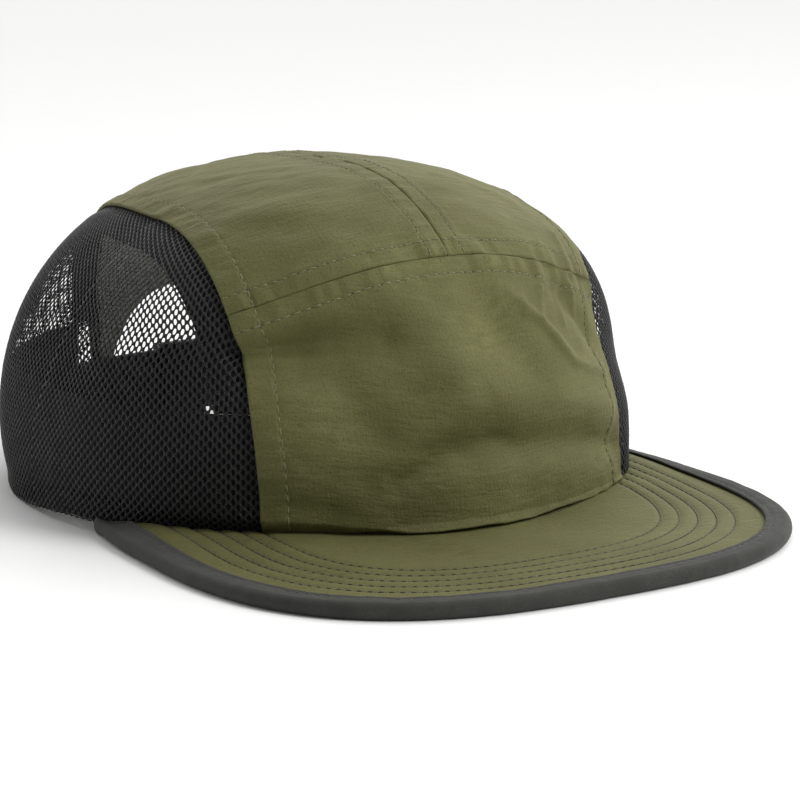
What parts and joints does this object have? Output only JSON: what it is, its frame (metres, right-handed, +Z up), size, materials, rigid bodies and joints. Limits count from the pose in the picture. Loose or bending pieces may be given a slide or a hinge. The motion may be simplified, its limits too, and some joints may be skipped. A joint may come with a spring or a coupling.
{
  "type": "technical cap",
  "caption": "Soft sports cap with nylon front and top panels, net sides, a flat bound brim and a strap at the back.",
  "frame": {"origin": "under the middle of the whole cap, on the surface that it rests on", "axes": "+Z up, the brim points to -Y, +X is the wearer's left"},
  "size_m": [0.176, 0.2572, 0.093],
  "materials": {
    "nylon": "crinkled plain-weave nylon, olive green, soft sheen",
    "net": "black open knitted net, matt",
    "binding": "charcoal woven tape, matt",
    "band": "black brushed knit, matt",
    "slide": "moulded black plastic"
  },
  "bodies": {
    "root": {"front_panel": "nylon", "top_panel_left": "nylon", "top_panel_right": "nylon", "side_net_left": "net", "side_net_right": "net", "brim": "nylon", "brim_binding": "binding", "sweatband": "band", "seam_tape_left": "band", "seam_tape_right": "band", "back_strap": "binding", "strap_slide": "slide"}
  },
  "joints": []
}
